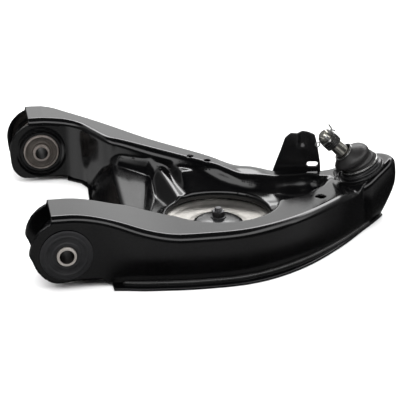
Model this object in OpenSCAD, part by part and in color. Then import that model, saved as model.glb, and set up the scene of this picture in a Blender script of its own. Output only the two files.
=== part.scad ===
// Lower control arm of two steel stampings, with rubber bushings and a ball joint.
// Frame: the origin is the centre of the front pivot bore. +X points outboard to the ball
// joint, +Y runs along the pivot axis to the rear bushing, and +Z is up.

/* [Pivot bushings] */
// Distance between the two bushing centres
pivot_span = 309; // [307:1:311]
// Bore of both inner sleeves, for an M14 pivot bolt
pivot_bore_d = 14.4; // [14.2:0.1:15]
// Outer diameter of both inner sleeves
sleeve_od = 20; // [19:0.5:21]
// Length of the front inner sleeve
front_sleeve_len = 68; // [66:1:72]
// Length of the rear inner sleeve
rear_sleeve_len = 72; // [70:1:76]
// Outer diameter of both bushing outer sleeves
can_od = 42; // [40:1:44]
// Diameter of the rubber flanges on the front bushing
front_flange_d = 54; // [50:1:56]

/* [Stampings] */
// Sheet thickness of the upper shell
sheet_t = 3.2; // [2.5:0.1:3.6]
// Outside width of the front channel at its ears
front_ear_w = 58; // [56:1:60]
// Outside width of the rear channel at its ears
rear_ear_w = 58; // [56:1:60]
// Height of both channel tops above the pivot axis, at the ears
ear_top_z = 41; // [40:0.5:42]
// Height of the leg tops where they are lowest
leg_top_z = 16.5; // [15:0.5:18]
// Height of the shelf and of the spring pocket floor
floor_z = 0; // [-2:0.5:2]
// Underside of the lower plate
base_z = -38; // [-40:1:-36]
// Thickness of the lower plate
plate_t = 3; // [2.5:0.1:3.5]
// Radius of the round ends of the ears
ear_r = 37.5; // [36:0.5:39]

/* [Spring pocket] */
// Centre of the pocket, outboard of the pivot axis
pocket_x = 172; // [171:1:173]
// Centre of the pocket, along the pivot axis
pocket_y = 55; // [54:1:56]
// Radius of the hole that the coil spring passes through
pocket_hole_r = 57; // [55:1:58]
// Radius of the pocket at the top of the legs
pocket_top_r = 63; // [62:1:64]
// Height of the surface that the spring stands on
seat_z = -12; // [-14:1:-11]

/* [Ball joint] */
// Centre of the ball, outboard of the pivot axis
ball_x = 343; // [342:1:344]
// Centre of the ball, along the pivot axis
ball_y = 95; // [94:1:96]
// Height of the centre of the ball
ball_z = 24; // [23:1:25]
// Lean of the housing towards the pivot axis, in degrees
housing_lean = 26; // [25:1:27]
// Lean of the stud beyond the lean of the housing, in degrees
stud_lean = 21; // [18:1:22]
// Radius of the ball
ball_r = 14; // [13.5:0.5:14.5]
// Across flats of the castle nut
castle_nut_af = 19; // [18:1:21]

/* [Bracket] */
// Thickness of the stop bracket
bracket_t = 4; // [3:0.5:5]
// Height of the top of the bracket above the pivot axis
bracket_top_z = 60; // [57:1:63]

/* [Hidden] */
// Running clearance of a shaft in its hole, on the radius
run_gap = 0.05;
// Gap of a pressed or threaded pair, on the radius
press_gap = 0.01;
black = [0.06, 0.06, 0.065];
steel = [0.62, 0.62, 0.6];
rubber_black = [0.09, 0.09, 0.09];
ball_centre = [ball_x, ball_y, ball_z];
plate_top = base_z + plate_t;
// Wall of the bushing cans, and the sizes of the small round features
can_t = 1.8;
lip_h = 7;
link_hole_d = 11;
clip_hole_d = 7;
slot_w = 5.6;
flange_w = 12;
disc_top = seat_z + 6;
// Spring seat and its bolt
seat_bolt_d = 8;
seat_bolt_hole_r = seat_bolt_d / 2 + 0.3;
seat_t = 2.5;
seat_skirt_r = 63.5;
seat_foot_r = 67;
disc_r = 27.5;
seat_nut_af = 13;
bolt_head_h = 5.5;
bolt_end_h = 11;
nut_flange_r = 8.5;
nut_flange_h = 1.6;
nut_h = 7.5;
// Radii inside and outside the ball joint housing
housing_r = 22;
cavity_r = 17.2;
neck_r = 18.9;
lip_r = 20.6;
mouth_top = 11;
flange_r = 26;
housing_foot = -17;
cover_t = 2.4;
cover_bottom = -16.5;
bearing_bottom = -12.4;
bearing_top = 8.1;
// Radii of the stud's neck, taper and thread, and of the cotter pin
stud_neck_r = 6.2;
stud_r = 8;
thread_r = 6;
cotter_r = 1.5;
cotter_hole_r = 1.8;
nut_gap = 0.2;
nut_body_h = 11.5;
nut_crown_h = 17;
// Wires that hold the boot
lower_wire_r = 0.9;
upper_wire_r = 0.7;
$fn = 64;

// A smooth curve through the points, with n steps between each two
function bend(a, b, c, d, t) =
    0.5 * (2 * b + (c - a) * t + (2 * a - 5 * b + 4 * c - d) * t * t
        + (3 * b - a - 3 * c + d) * t * t * t);
function curve(p, n) = let (last = len(p) - 1) concat(
    [for (i = [0:last - 1]) for (k = [0:n - 1])
        bend(p[max(i - 1, 0)], p[i], p[i + 1], p[min(i + 2, last)], k / n)],
    [p[last]]);
function arc(cx, cy, r, from, to, n) =
    [for (k = [0:n]) let (a = from + (to - from) * k / n) [cx + r * cos(a), cy + r * sin(a)]];
function unit(v) = v / norm(v);
function back(p) = [for (i = [len(p) - 1:-1:0]) p[i]];
// The points moved by d to the left of an open line or of a closed outline
function left_of(a, b) = let (u = unit(b - a)) [-u.y, u.x];
function beside(p, d) = let (last = len(p) - 1) [for (i = [0:last])
    let (m = left_of(p[max(i - 1, 0)], p[max(i, 1)]), n = left_of(p[min(i, last - 1)], p[min(i + 1, last)]))
    p[i] + d * (m + n) / (1 + m * n)];
function inset(p, d) = let (count = len(p)) [for (i = [0:count - 1])
    let (m = left_of(p[(i + count - 1) % count], p[i]), n = left_of(p[i], p[(i + 1) % count]))
    p[i] + d * (m + n) / (1 + m * n)];

// Plan lines of the outer faces of the walls
front_half = front_ear_w / 2;
rear_near_y = pivot_span - rear_ear_w / 2;
rear_far_y = pivot_span + rear_ear_w / 2;
ear_x = -ear_r - 1;
front_wall = curve([[ear_x, -front_half], [36, -front_half], [83, -37], [135, -42], [190, -38],
    [246, -13], [298, 26], [340, 67], [360, 88]], 4);
pocket_wall = arc(pocket_x, pocket_y, pocket_top_r, -143, -13, 14);
front_inner_wall = concat(curve([[ear_x, front_half], [36, front_half], [72, 35], [102, 28]], 4),
    pocket_wall);
rear_inner_wall = curve([[ear_x, rear_near_y], [24, rear_near_y], [44, 267], [56, 245], [72, 218],
    [94, 204], [172, 145], [222, 108], [276, 99], [298, 92]], 3);
rear_wall = curve([[ear_x, rear_far_y], [8, rear_far_y], [40, 316], [80, 277], [126, 226],
    [178, 181], [212, 148], [255, 128], [300, 120], [342, 131]], 3);
// Plan outline of the nose at its foot
nose_tip = [370, 98];
nose_foot = concat([[300, 28], [340, 67], nose_tip], arc(345, 108, 24, 10, 100, 6), [[300, 120]]);

// Heights of the leg tops, and how far the front one dips where it meets the nose
nose_dip = 5;
function ease(x) = let (t = min(max(x, 0), 1)) t * t * (3 - 2 * t);
function front_top(x) = ear_top_z + (leg_top_z - ear_top_z) * ease((x - 2) / 116)
    - nose_dip * ease((x - 300) / 32);
function rear_top(x) = x < 5 ? ear_top_z
    : max(ear_top_z - 0.1 * (x - 5), 22) + (leg_top_z - 22) * ease((x - 188) / 28);

// Side view of a channel: the round ear, the foot and the top
mouth_x = -14;
front_ear_foot = [[-34.4, -5], [-30, -16], [-20.5, -26.8], [-9, -31.3], [7, -30.2], [33, -30.2],
    [40, -33], [43, plate_top]];
rear_ear_foot = [[-35.6, -17], [-31, -26], [-24, -32], [-14, -33.5], [30, -33.5], [36, plate_top]];
function channel_side(tops, foot, drop) = concat(
    arc(0, 0, ear_r, 112, 178, 8), foot,
    [[400, plate_top], [400, leg_top_z - drop]],
    [for (x = [390:-10:0]) [x, tops[(x + 20) / 10] - drop]],
    [[mouth_x, ear_top_z - drop]]);
front_tops = [for (x = [-20:10:400]) front_top(x)];
rear_tops = [for (x = [-20:10:400]) rear_top(x)];

module along_y(from, to) translate([0, to, 0]) rotate([90, 0, 0]) linear_extrude(to - from) children();
// The ball joint's own frame: the origin is the centre of the ball, and +Z is its axis
module in_housing() translate(ball_centre) rotate([0, -housing_lean, 0]) children();
module in_stud() translate(ball_centre) rotate([0, -housing_lean - stud_lean, 0]) children();
module ring(r_out, r_in, from, to) translate([0, 0, from]) difference() {
    cylinder(r = r_out, h = to - from);
    translate([0, 0, -1]) cylinder(r = r_in, h = to - from + 2);
}

// One channel leg, or with d and drop the space inside it
module front_leg(d, drop) intersection() {
    translate([0, 0, base_z - 1]) linear_extrude(100)
        polygon(inset(concat(front_wall, [[352, 112], [300, 88], [287, 71], [262, 50]],
            back(front_inner_wall)), d));
    along_y(-80, 140) polygon(channel_side(front_tops, front_ear_foot, drop));
}
module rear_leg(d, drop) intersection() {
    translate([0, 0, base_z - 1]) linear_extrude(100)
        polygon(inset(concat(rear_inner_wall, [[330, 92]], back(rear_wall)), d));
    along_y(60, 400) polygon(channel_side(rear_tops, rear_ear_foot, drop));
}
// The pan between the outer walls: sloped crotch wall, shelf and pocket floor
function outboard_of(p, x) = [for (q = p) if (q.x >= x) q];
pan_outline = concat(outboard_of(front_wall, 30), [[352, 118]], back(outboard_of(rear_wall, 30)));
module pan(d) intersection() {
    along_y(-60, 350) polygon([[48 + d, base_z - 1], [74 + d, floor_z - d], [360, floor_z - d],
        [360, base_z - 1]]);
    translate([0, 0, base_z - 2]) linear_extrude(60) polygon(inset(pan_outline, d));
}
// The slope that falls from the rear leg to the rim of the spring hole
funnel_r = 5;
module funnel(d) hull() {
    for (p = [[124, 184], [170, 150], [214, 117]])
        translate([p.x, p.y, base_z]) cylinder(r = funnel_r - d, h = leg_top_z - 2 - base_z - d, $fn = 16);
    for (a = [58, 82, 106, 124])
        translate([pocket_x + pocket_hole_r * cos(a), pocket_y + pocket_hole_r * sin(a), base_z])
            cylinder(r = funnel_r - d, h = floor_z - base_z - d, $fn = 16);
}
// The nose: a cup that leans with the ball joint, cut straight along its front and blended into
// the foot outline
collar_z = -4.5;
collar_r = 40;
collar_h = 6;
front_cut = 27;
front_cut_turn = -60;
module nose(d) hull() {
    translate([0, 0, base_z - 1]) linear_extrude(4) polygon(inset(nose_foot, d));
    in_housing() translate([0, 0, collar_z - d - collar_h]) intersection() {
        translate([-1, 2, 0]) cylinder(r = collar_r - 1.5 * d, h = collar_h);
        rotate([0, 0, front_cut_turn]) translate([-80, -60, 0])
            cube([80 + front_cut - 1.5 * d, 120, collar_h]);
    }
}
module ear_bore(y, r) along_y(y - 60, y + 60) circle(r);

link_hole_at = [281, 38];
clip_holes_at = [[161.6, 165], [179, 152]];

module upper_shell() color(black) difference() {
    union() {
        front_leg(0, 0);
        rear_leg(0, 0);
        pan(0);
        funnel(0);
        nose(0);
    }
    difference() {
        union() {
            front_leg(sheet_t, sheet_t);
            rear_leg(sheet_t, sheet_t);
            pan(sheet_t);
            funnel(sheet_t);
            nose(sheet_t);
        }
        // The turned-down lip of the spring hole
        translate([pocket_x, pocket_y, 0])
            ring(pocket_hole_r + sheet_t, pocket_hole_r, floor_z - lip_h, floor_z);
    }
    // Open inboard ends of both channels
    translate([ear_x - 1, -front_half + sheet_t, -60])
        cube([20, front_ear_w - 2 * sheet_t, 120]);
    translate([ear_x - 1, rear_near_y + sheet_t, -60])
        cube([20, rear_ear_w - 2 * sheet_t, 120]);
    // Everything below the lower plate's upper face
    translate([-100, -100, plate_top - 40]) cube([600, 600, 40]);
    translate([pocket_x, pocket_y, floor_z - lip_h - 1]) cylinder(r = pocket_hole_r, h = 60);
    // Recess round the ball joint, and the hole that holds it
    in_housing() translate([0, 0, collar_z]) cylinder(r = collar_r - 9, h = 60);
    in_housing() translate([0, 0, -22]) cylinder(r = housing_r + press_gap, h = 60);
    for (y = [0, pivot_span]) ear_bore(y, can_od / 2 + press_gap);
    translate([link_hole_at.x, link_hole_at.y, 0]) cylinder(d = link_hole_d, h = 60);
    for (p = clip_holes_at) translate([p.x, p.y, 0]) cylinder(d = clip_hole_d, h = 60);
}

// The closing plate with its flange along the front leg
function flange_at(x) = flange_w * (1 - 0.75 * ease((x - 200) / 160));
function flanged(p) = let (away = beside(p, -1))
    [for (i = [0:len(p) - 1]) p[i] + (away[i] - p[i]) * flange_at(p[i].x)];
plate_edge = concat(
    flanged(outboard_of(front_wall, 44)), [[372, 98]],
    arc(345, 108, 27, 12, 96, 5),
    back(beside(outboard_of(rear_wall, 30), 6)),
    [[30, 276], [45, 262], [51, 246], [48, 200], [48, 37], [46, 31]]);
module lower_plate() color(black) difference() {
    translate([0, 0, base_z]) linear_extrude(plate_t) polygon(plate_edge);
    // Drain holes under each leg and the hole of the seat bolt
    for (p = [[110, -5], [130, 178], [300, 70]])
        translate([p.x, p.y, base_z - 1]) cylinder(r = 7, h = plate_t + 2);
    translate([pocket_x, pocket_y, base_z - 1]) cylinder(r = 24, h = plate_t + 2);
}

// Weld beads where the walls stand on the lower plate
bead = 3;
module seam(line, side) translate([0, 0, plate_top]) linear_extrude(bead)
    polygon(concat(line, back(beside(line, side * bead))));
module front_seam_weld() color(black) difference() {
    seam(outboard_of(front_wall, 52), -1);
    nose(0);
}
module rear_seam_weld() color(black) difference() {
    seam(outboard_of(rear_wall, 34), 1);
    nose(0);
}

// The dish that the coil spring stands on, with its skirt down to the lower plate
module spring_seat() color(steel) translate([pocket_x, pocket_y, 0]) rotate_extrude($fn = 96)
    polygon([[seat_bolt_hole_r, seat_z], [27, seat_z], [32, seat_z - 1.5], [50, seat_z - 1],
        [60, seat_z + 3], [seat_skirt_r, seat_z + 3], [seat_skirt_r, plate_top + seat_t],
        [seat_foot_r, plate_top + seat_t], [seat_foot_r, plate_top], [seat_skirt_r - seat_t, plate_top],
        [seat_skirt_r - seat_t, seat_z + 0.5], [50, seat_z - 1 - seat_t], [32, seat_z - 1.5 - seat_t],
        [27, seat_z - seat_t], [seat_bolt_hole_r, seat_z - seat_t]]);
// The domed disc that the seat bolt clamps over the spring seat
module seat_disc() color(black) translate([pocket_x, pocket_y, 0]) rotate_extrude($fn = 72)
    polygon([[seat_bolt_hole_r, disc_top], [9, disc_top], [18, disc_top - 1.2],
        [25, disc_top - 3.2], [disc_r, disc_top - 5], [disc_r, seat_z], [disc_r - seat_t, seat_z],
        [24, disc_top - 5], [9, disc_top - seat_t], [seat_bolt_hole_r, disc_top - seat_t]]);
module seat_bolt() color(steel) translate([pocket_x, pocket_y, 0]) {
    translate([0, 0, seat_z - seat_t - bolt_head_h])
        cylinder(d = seat_nut_af / cos(30), h = bolt_head_h, $fn = 6);
    translate([0, 0, seat_z - seat_t - 1])
        cylinder(d = seat_bolt_d, h = disc_top + bolt_end_h - seat_z + seat_t + 1);
}
module seat_nut() color(steel) translate([pocket_x, pocket_y, disc_top]) difference() {
    union() {
        cylinder(r = nut_flange_r, h = nut_flange_h);
        cylinder(d = seat_nut_af / cos(30), h = nut_h, $fn = 6);
    }
    translate([0, 0, -1]) cylinder(r = seat_bolt_d / 2 + press_gap, h = nut_h + 2);
}

// Steering stop plate, welded to the rear wall near the ball joint
bracket_gap = 0.8;
module at_bracket() translate([277.5, 124.5, 0]) rotate([0, 0, -10]) children();
module stop_bracket() color(black) at_bracket() difference() {
    along_y(bracket_gap, bracket_gap + bracket_t) polygon(concat(
        [[-28, -12], [26.5, -12], [26, 21], [21, 46], [18, bracket_top_z - 3]],
        [[11, bracket_top_z], [5, bracket_top_z], [-1, bracket_top_z - 2]],
        [[-8.5, bracket_top_z - 1], [-15, bracket_top_z - 7], [-19, 40], [-28, 14]]));
    // Slot and the half-round groove pressed into the top edge
    along_y(-5, 10) hull() for (u = [13.2, 20.2]) translate([u, 21.5]) circle(d = slot_w);
    translate([5, -3.2, bracket_top_z - 11]) cylinder(r = 5.5, h = 30);
}
module bracket_weld() color(black) difference() {
    at_bracket() for (u = [-26, 18])
        along_y(-1.5, bracket_gap) translate([u, -10]) square([8, 20]);
    rear_leg(0, 0);
    nose(0);
}

// Bushings: the rubber is bonded between the can and the inner sleeve
module along_pivot(y) translate([0, y, 0]) rotate([-90, 0, 0]) children();
module can(y, length) along_pivot(y)
    ring(can_od / 2, can_od / 2 - can_t, -length / 2, length / 2);
module sleeve(y, length) along_pivot(y)
    ring(sleeve_od / 2, pivot_bore_d / 2, -length / 2, length / 2);
rubber_r = can_od / 2 - can_t - press_gap;
rubber_bore_r = sleeve_od / 2 + run_gap;
front_can_len = front_ear_w + 0.6;
rear_can_len = rear_ear_w + 7;
module front_bushing_can() color(steel) can(0, front_can_len);
module front_bushing_rubber() color(rubber_black) along_pivot(0) difference() {
    union() {
        cylinder(r = rubber_r, h = front_can_len, center = true);
        for (side = [-1, 1]) translate([0, 0, side * (front_can_len / 2 + 1.5)])
            cylinder(d = front_flange_d, h = 3, center = true);
    }
    cylinder(r = rubber_bore_r, h = 100, center = true);
}
module front_inner_sleeve() color(steel) sleeve(0, front_sleeve_len);
module rear_bushing_can() color(steel) can(pivot_span, rear_can_len);
module rear_bushing_rubber() color(rubber_black) along_pivot(pivot_span)
    ring(rubber_r, rubber_bore_r, 2 - rear_can_len / 2, rear_can_len / 2 - 2);
module rear_inner_sleeve() color(steel) sleeve(pivot_span, rear_sleeve_len);

// Ball joint housing, open at the top for the stud and closed below by the cover
module ball_joint_housing() color(black) in_housing() rotate_extrude($fn = 72)
    polygon([[cavity_r, housing_foot], [housing_r, housing_foot], [housing_r, collar_z], [flange_r, collar_z],
        [flange_r, collar_z + 2.5], [24, collar_z + 2.5], [24, 2], [21.5, 2], [21.5, 4], [neck_r, 4],
        [neck_r, 7], [neck_r - 1.3, mouth_top], [14.8, mouth_top], [12.9, 8.2], [cavity_r, 8.2]]);
module ball_upper_bearing() color("ivory") in_housing() difference() {
    translate([0, 0, 0.2]) cylinder(r = cavity_r - run_gap, h = bearing_top - 0.2);
    sphere(r = ball_r + run_gap);
    cylinder(r1 = 11.2, r2 = 13.2, h = 9);
}
module ball_lower_bearing() color("ivory") in_housing() difference() {
    translate([0, 0, bearing_bottom]) cylinder(r = cavity_r - run_gap, h = -bearing_bottom - 0.2);
    sphere(r = ball_r + run_gap);
}
module preload_spring() color(steel) in_housing()
    ring(cavity_r - 0.4, cavity_r - 6, bearing_bottom - 1.6, bearing_bottom - 0.1);
module housing_cover() color(black) in_housing() translate([0, 0, cover_bottom])
    cylinder(r = cavity_r - press_gap, h = cover_t);
module boot_lower_ring() color(steel) in_housing() translate([0, 0, 6.4])
    rotate_extrude($fn = 72) translate([lip_r + 1.1, 0]) circle(r = lower_wire_r, $fn = 16);

// The boot, from its lip on the housing to its lip on the stud, leaning with the stud
boot_sides = 28;
boot_steps = 14;
boot_top_s = 30;
boot_end_r = 10.4;
function lean_dir(a) = [-sin(a), 0, cos(a)];
function boot_axis(t) = let (h = lean_dir(housing_lean), s = lean_dir(housing_lean + stud_lean),
        u = 1 - t)
    h * 4.3 * u * u * u + 3 * h * 14 * u * u * t + 3 * s * 18 * u * t * t
        + s * boot_top_s * t * t * t;
function boot_r(t) = t < 0.25 ? lip_r
    : t < 0.62 ? lip_r - 0.9 * sin((t - 0.25) * 480)
    : t < 0.93 ? boot_end_r + (lip_r - boot_end_r) * cos((t - 0.62) * 90 / 0.31)
    : boot_end_r;
function boot_circle(t, r) = let (a = housing_lean + stud_lean * ease(t))
    [for (k = [0:boot_sides - 1]) let (q = 360 * k / boot_sides)
        ball_centre + boot_axis(t) + r * [cos(q) * cos(a), sin(q), cos(q) * sin(a)]];
function boot_wall(t) = t < 0.3 ? lip_r - 1.15 : max(boot_r(t) - 1.9, stud_r + 0.4);
module dust_boot() color(rubber_black) {
    out = [for (i = [0:boot_steps]) boot_circle(i / boot_steps, boot_r(i / boot_steps))];
    in = [for (i = [boot_steps:-1:0]) boot_circle(i / boot_steps, boot_wall(i / boot_steps))];
    rings = concat(out, in);
    count = len(rings);
    polyhedron([for (r = rings) each r],
        [for (i = [0:count - 1]) for (k = [0:boot_sides - 1])
            let (j = (i + 1) % count, m = (k + 1) % boot_sides)
            [i * boot_sides + k, j * boot_sides + k, j * boot_sides + m, i * boot_sides + m]],
        convexity = 6);
}
module boot_upper_ring() color(steel) in_stud() translate([0, 0, boot_top_s - 1.3])
    rotate_extrude($fn = 48) translate([boot_end_r + 0.9, 0]) circle(r = upper_wire_r, $fn = 16);

// Ball stud: ball, neck, taper and threaded end with its cross hole
taper_s = 28;
thread_s = 44;
stud_end_s = 64;
cotter_s = 58.4;
module ball_stud() color(steel) in_stud() difference() {
    union() {
        intersection() {
            sphere(r = ball_r);
            cylinder(r = 20, h = 24, center = true);
        }
        cylinder(r = stud_neck_r, h = taper_s);
        translate([0, 0, taper_s - 4]) cylinder(r1 = stud_neck_r, r2 = stud_r, h = 4);
        translate([0, 0, taper_s]) cylinder(r1 = stud_r, r2 = stud_r - 1, h = thread_s - taper_s);
        translate([0, 0, thread_s]) cylinder(r = thread_r, h = stud_end_s - thread_s);
    }
    translate([0, 0, cotter_s]) rotate([0, 90, 0]) cylinder(r = cotter_hole_r, h = 40, center = true);
}
module castle_nut() color(steel) in_stud() difference() {
    union() {
        translate([0, 0, thread_s + nut_gap])
            cylinder(d = castle_nut_af / cos(30), h = nut_body_h, $fn = 6);
        translate([0, 0, thread_s + nut_gap]) cylinder(r = castle_nut_af / 2 - 1, h = nut_crown_h);
    }
    translate([0, 0, thread_s - 1]) cylinder(r = thread_r + press_gap, h = 30);
    for (a = [0:60:120]) rotate([0, 0, a])
        translate([-20, -cotter_hole_r, cotter_s - cotter_hole_r]) cube([40, 2 * cotter_hole_r, 10]);
}
module cotter_pin() color(steel) in_stud() translate([0, 0, cotter_s]) {
    rotate([0, 90, 0]) cylinder(r = cotter_r, h = 21.2, center = true);
    translate([-12.6, 0, 0]) rotate([90, 0, 0])
        rotate_extrude($fn = 24) translate([2.2, 0]) circle(r = 0.9, $fn = 16);
    translate([10, 0, -2]) cylinder(r = 1, h = 10);
}

upper_shell();
lower_plate();
front_seam_weld();
rear_seam_weld();
spring_seat();
seat_disc();
seat_bolt();
seat_nut();
stop_bracket();
bracket_weld();
front_bushing_can();
front_bushing_rubber();
front_inner_sleeve();
rear_bushing_can();
rear_bushing_rubber();
rear_inner_sleeve();
ball_joint_housing();
ball_upper_bearing();
ball_lower_bearing();
preload_spring();
housing_cover();
boot_lower_ring();
dust_boot();
boot_upper_ring();
ball_stud();
castle_nut();
cotter_pin();
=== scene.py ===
# Suspension control arm: pressed and painted steel, rubber bushings and a ball joint.
import math

import bmesh
import bpy
import numpy as np
from mathutils import Matrix, Vector


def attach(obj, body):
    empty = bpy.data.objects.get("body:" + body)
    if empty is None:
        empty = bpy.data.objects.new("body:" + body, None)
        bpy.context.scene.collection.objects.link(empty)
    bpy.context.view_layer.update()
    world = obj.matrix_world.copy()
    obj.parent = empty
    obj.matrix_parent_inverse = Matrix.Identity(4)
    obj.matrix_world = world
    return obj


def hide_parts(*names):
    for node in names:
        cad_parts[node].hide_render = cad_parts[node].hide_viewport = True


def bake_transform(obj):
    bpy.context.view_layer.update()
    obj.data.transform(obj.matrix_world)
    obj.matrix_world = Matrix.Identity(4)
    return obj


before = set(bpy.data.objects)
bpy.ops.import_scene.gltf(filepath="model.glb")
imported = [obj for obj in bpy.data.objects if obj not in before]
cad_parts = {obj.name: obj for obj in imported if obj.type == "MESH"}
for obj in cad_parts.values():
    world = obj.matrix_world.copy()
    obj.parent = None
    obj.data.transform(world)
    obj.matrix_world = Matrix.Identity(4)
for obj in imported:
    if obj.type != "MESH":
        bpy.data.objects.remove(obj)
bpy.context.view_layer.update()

MM = 0.001

# ---------------------------------------------------------------- plan lines, in millimetres

BASE_Z, PLATE_TOP, SHEET = -38.0, -35.0, 3.2
PIVOT_SPAN = 309.0
POCKET = (172.0, 55.0)
HOLE_R = 57.0
BALL = np.array([343.0, 95.0, 24.0])
SLEEVE_BORE, SLEEVE_R = 7.2, 10
CAN_BORE, CAN_R = 19.2, 21
LEAN, STUD_LEAN = math.radians(26), math.radians(21)
BEYOND = -70.0  # plan lines run past the ears, which are trimmed by their side view


def curve(points, n):
    """Smooth line through the points, with n steps between each two."""
    p = [np.array(q, float) for q in points]
    out = []
    for i in range(len(p) - 1):
        a, b, c, d = p[max(i - 1, 0)], p[i], p[i + 1], p[min(i + 2, len(p) - 1)]
        for k in range(n):
            t = k / n
            out.append(0.5 * (2 * b + (c - a) * t + (2 * a - 5 * b + 4 * c - d) * t * t
                              + (3 * b - a - 3 * c + d) * t ** 3))
    return out + [p[-1]]


def arc(cx, cy, r, start, end, n):
    return [np.array([cx + r * math.cos(a), cy + r * math.sin(a)])
            for a in np.radians(np.linspace(start, end, n + 1))]


front_wall = curve([[BEYOND, -29], [36, -29], [83, -37], [135, -42], [190, -38], [246, -13],
                    [298, 26], [340, 67], [360, 88]], 12)
front_inner = curve([[BEYOND, 29], [36, 29], [72, 35], [102, 28]], 10) + arc(172, 55, 63, -143, -13, 50)
rear_inner = curve([[BEYOND, 280], [12, 280], [32, 276], [46, 264], [56, 245], [72, 218], [94, 204],
                    [172, 145], [222, 108], [262, 101], [284, 101], [293, 94]], 10)
rear_wall = curve([[BEYOND, 338], [8, 338], [40, 316], [80, 277], [126, 226], [178, 181],
                   [212, 148], [255, 128], [300, 120], [342, 131]], 10)
nose_foot = [np.array(q, float) for q in ([300, 28], [340, 67], [370, 98])] \
    + arc(345, 108, 24, 10, 100, 16) + [np.array([300.0, 120.0])]


def beside(points, d):
    """The open line moved d to its left."""
    p = np.array(points)
    along = np.gradient(p, axis=0)
    along /= np.linalg.norm(along, axis=1)[:, None]
    return p + d * np.stack([-along[:, 1], along[:, 0]], 1)


# ---------------------------------------------------------------- distance fields

class Plan:
    """Signed distance to a closed outline, negative inside, kept on a grid and read smoothly."""

    def __init__(self, points, box, soft=2.0, step=1.0):
        self.x0, self.y0, self.step = box[0], box[2], step
        xs = np.arange(box[0], box[1] + step, step)
        ys = np.arange(box[2], box[3] + step, step)
        gx, gy = np.meshgrid(xs, ys, indexing="ij")
        p = np.array(points, float)
        best = np.full(gx.shape, 1e12)
        inside = np.zeros(gx.shape, bool)
        for (ax, ay), (bx, by) in zip(p, np.roll(p, -1, 0)):
            ex, ey = bx - ax, by - ay
            wx, wy = gx - ax, gy - ay
            t = np.clip((wx * ex + wy * ey) / max(ex * ex + ey * ey, 1e-9), 0, 1)
            best = np.minimum(best, (wx - ex * t) ** 2 + (wy - ey * t) ** 2)
            if ay != by:
                inside ^= ((ay > gy) != (by > gy)) & (gx < ax + (gy - ay) / ey * ex)
        d = np.where(inside, -1, 1) * np.sqrt(best)
        self.d = self.soften(d, soft)

    def soften(self, d, soft):
        """The grid blurred by a bell curve of width soft."""
        reach = int(3 * soft / self.step)
        k = np.exp(-0.5 * (np.arange(-reach, reach + 1) * self.step / soft) ** 2)
        k /= k.sum()
        for axis in (0, 1):
            pad = [(reach, reach) if a == axis else (0, 0) for a in (0, 1)]
            wide = np.pad(d, pad, mode="edge")
            d = sum(w * np.take(wide, np.arange(d.shape[axis]) + i, axis=axis) for i, w in enumerate(k))
        return d

    def __call__(self, x, y):
        u = np.clip((x - self.x0) / self.step, 0, self.d.shape[0] - 1.001)
        v = np.clip((y - self.y0) / self.step, 0, self.d.shape[1] - 1.001)
        i, j = u.astype(np.int32), v.astype(np.int32)
        u, v = u - i, v - j
        d = self.d
        return ((d[i, j] * (1 - u) + d[i + 1, j] * u) * (1 - v)
                + (d[i, j + 1] * (1 - u) + d[i + 1, j + 1] * u) * v)


def both(a, b, r):
    """What lies in both solids, its edge rounded to radius r."""
    return np.minimum(-r, np.maximum(a, b)) + np.hypot(np.maximum(r + a, 0), np.maximum(r + b, 0))


def either(a, b, r):
    """What lies in either solid, with a fillet of radius r between them."""
    return np.maximum(r, np.minimum(a, b)) - np.hypot(np.maximum(r - a, 0), np.maximum(r - b, 0))


def ease(t):
    t = np.clip(t, 0, 1)
    return t * t * (3 - 2 * t)


def fade(value, start, end):
    """0 before start, 1 after end and smooth between; start may be the larger."""
    return ease((value - start) / (end - start))


EAR_TOP = 41
FRONT_FALL, NOSE_DIP = 24.5, 5
REAR_FALL, REAR_LOW, REAR_DIP = 0.1, 22, 5.5


def front_top(x):
    return EAR_TOP - FRONT_FALL * fade(x, 2, 118) - NOSE_DIP * fade(x, 300, 332)


def rear_top(x):
    level = np.where(x < 5, EAR_TOP, np.maximum(EAR_TOP - REAR_FALL * (x - 5), REAR_LOW))
    return level - REAR_DIP * fade(x, 188, 216)


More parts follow.
